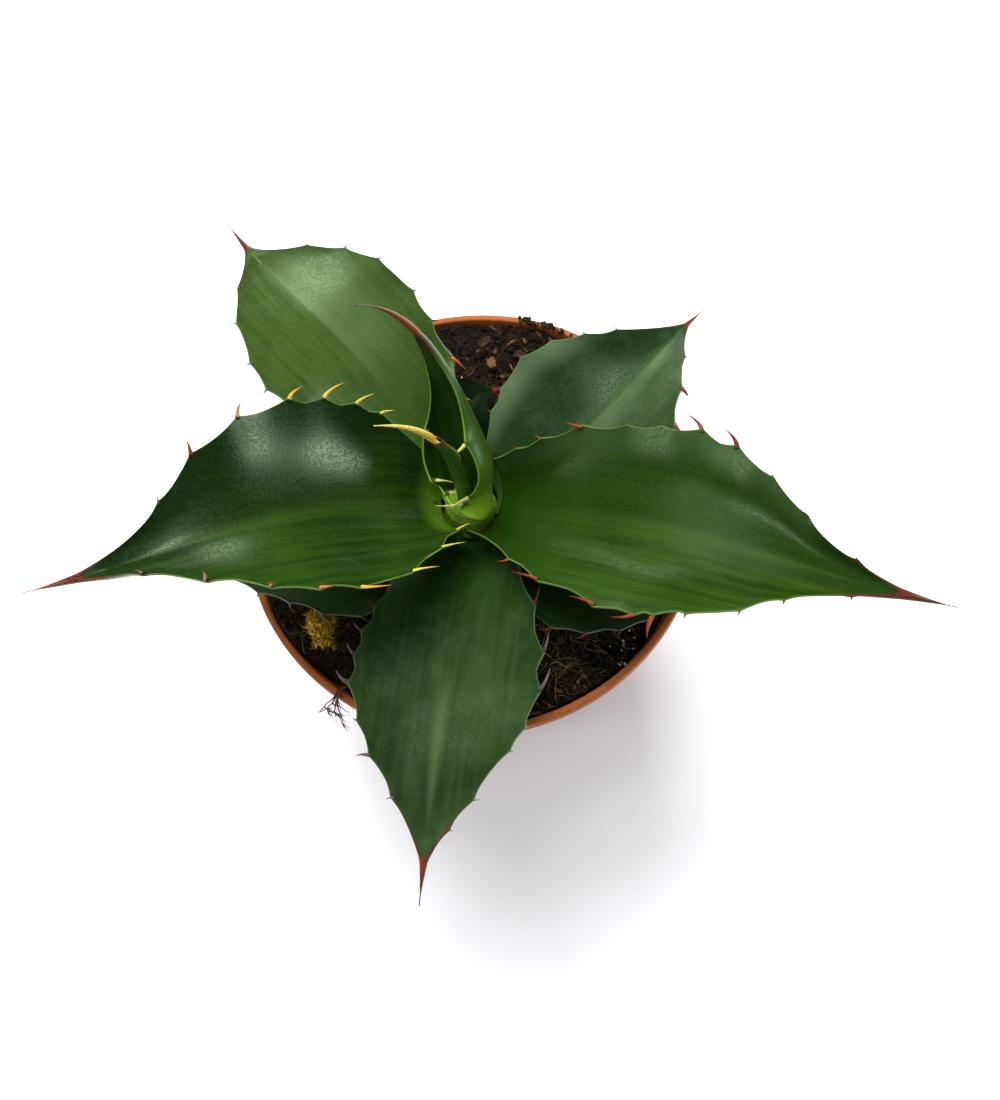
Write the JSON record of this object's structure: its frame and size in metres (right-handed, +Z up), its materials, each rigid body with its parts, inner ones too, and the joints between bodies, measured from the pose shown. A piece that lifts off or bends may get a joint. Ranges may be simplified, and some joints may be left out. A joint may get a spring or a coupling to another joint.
{
  "type": "potted agave",
  "caption": "Young agave rosette with broad waxy toothed leaves and needle tips, rooted in potting mix in a tapered round nursery pot.",
  "frame": {"origin": "centre of the pot's flat underside, on the pot's axis", "axes": "+Z up along the pot's axis; +X towards the longest leaf on the right, and +Y towards the leaf at the back left"},
  "size_m": [0.2623, 0.2204, 0.2022],
  "materials": {
    "pot_plastic": "terracotta-coloured moulded plastic, satin, slightly dusty at the rim",
    "potting_mix": "damp peat and bark fibre, matte",
    "stem_tissue": "pale yellow-green plant tissue, waxy",
    "leaf_tissue": "thick waxy green leaf, satin, with red-brown spines",
    "leaf_tissue_shaded": "dark green waxy leaf in shade, satin",
    "bark": "raw amber-brown bark, matte",
    "moss": "dry golden moss and coir, matte",
    "root_fibre": "dry brown root fibre, matte"
  },
  "bodies": {
    "root": {"pot": "pot_plastic", "potting_mix": "potting_mix", "stem_with_roots": "stem_tissue", "leaf_spear": "leaf_tissue", "leaf_inner_channelled": "leaf_tissue", "leaf_left": "leaf_tissue", "leaf_right": "leaf_tissue", "leaf_back_left": "leaf_tissue", "leaf_back_right": "leaf_tissue", "leaf_front": "leaf_tissue", "leaf_lower_left": "leaf_tissue_shaded", "leaf_lower_right": "leaf_tissue_shaded", "leaf_lower_back": "leaf_tissue_shaded", "bark_chip_1": "bark", "bark_chip_2": "bark", "bark_chip_3": "bark", "bark_chip_4": "bark", "bark_chip_5": "bark", "bark_chip_6": "bark", "bark_chip_7": "bark", "bark_chip_8": "bark", "moss_tuft": "moss", "root_fibres": "root_fibre", "mix_crumbs_on_rim": "potting_mix"}
  },
  "joints": []
}
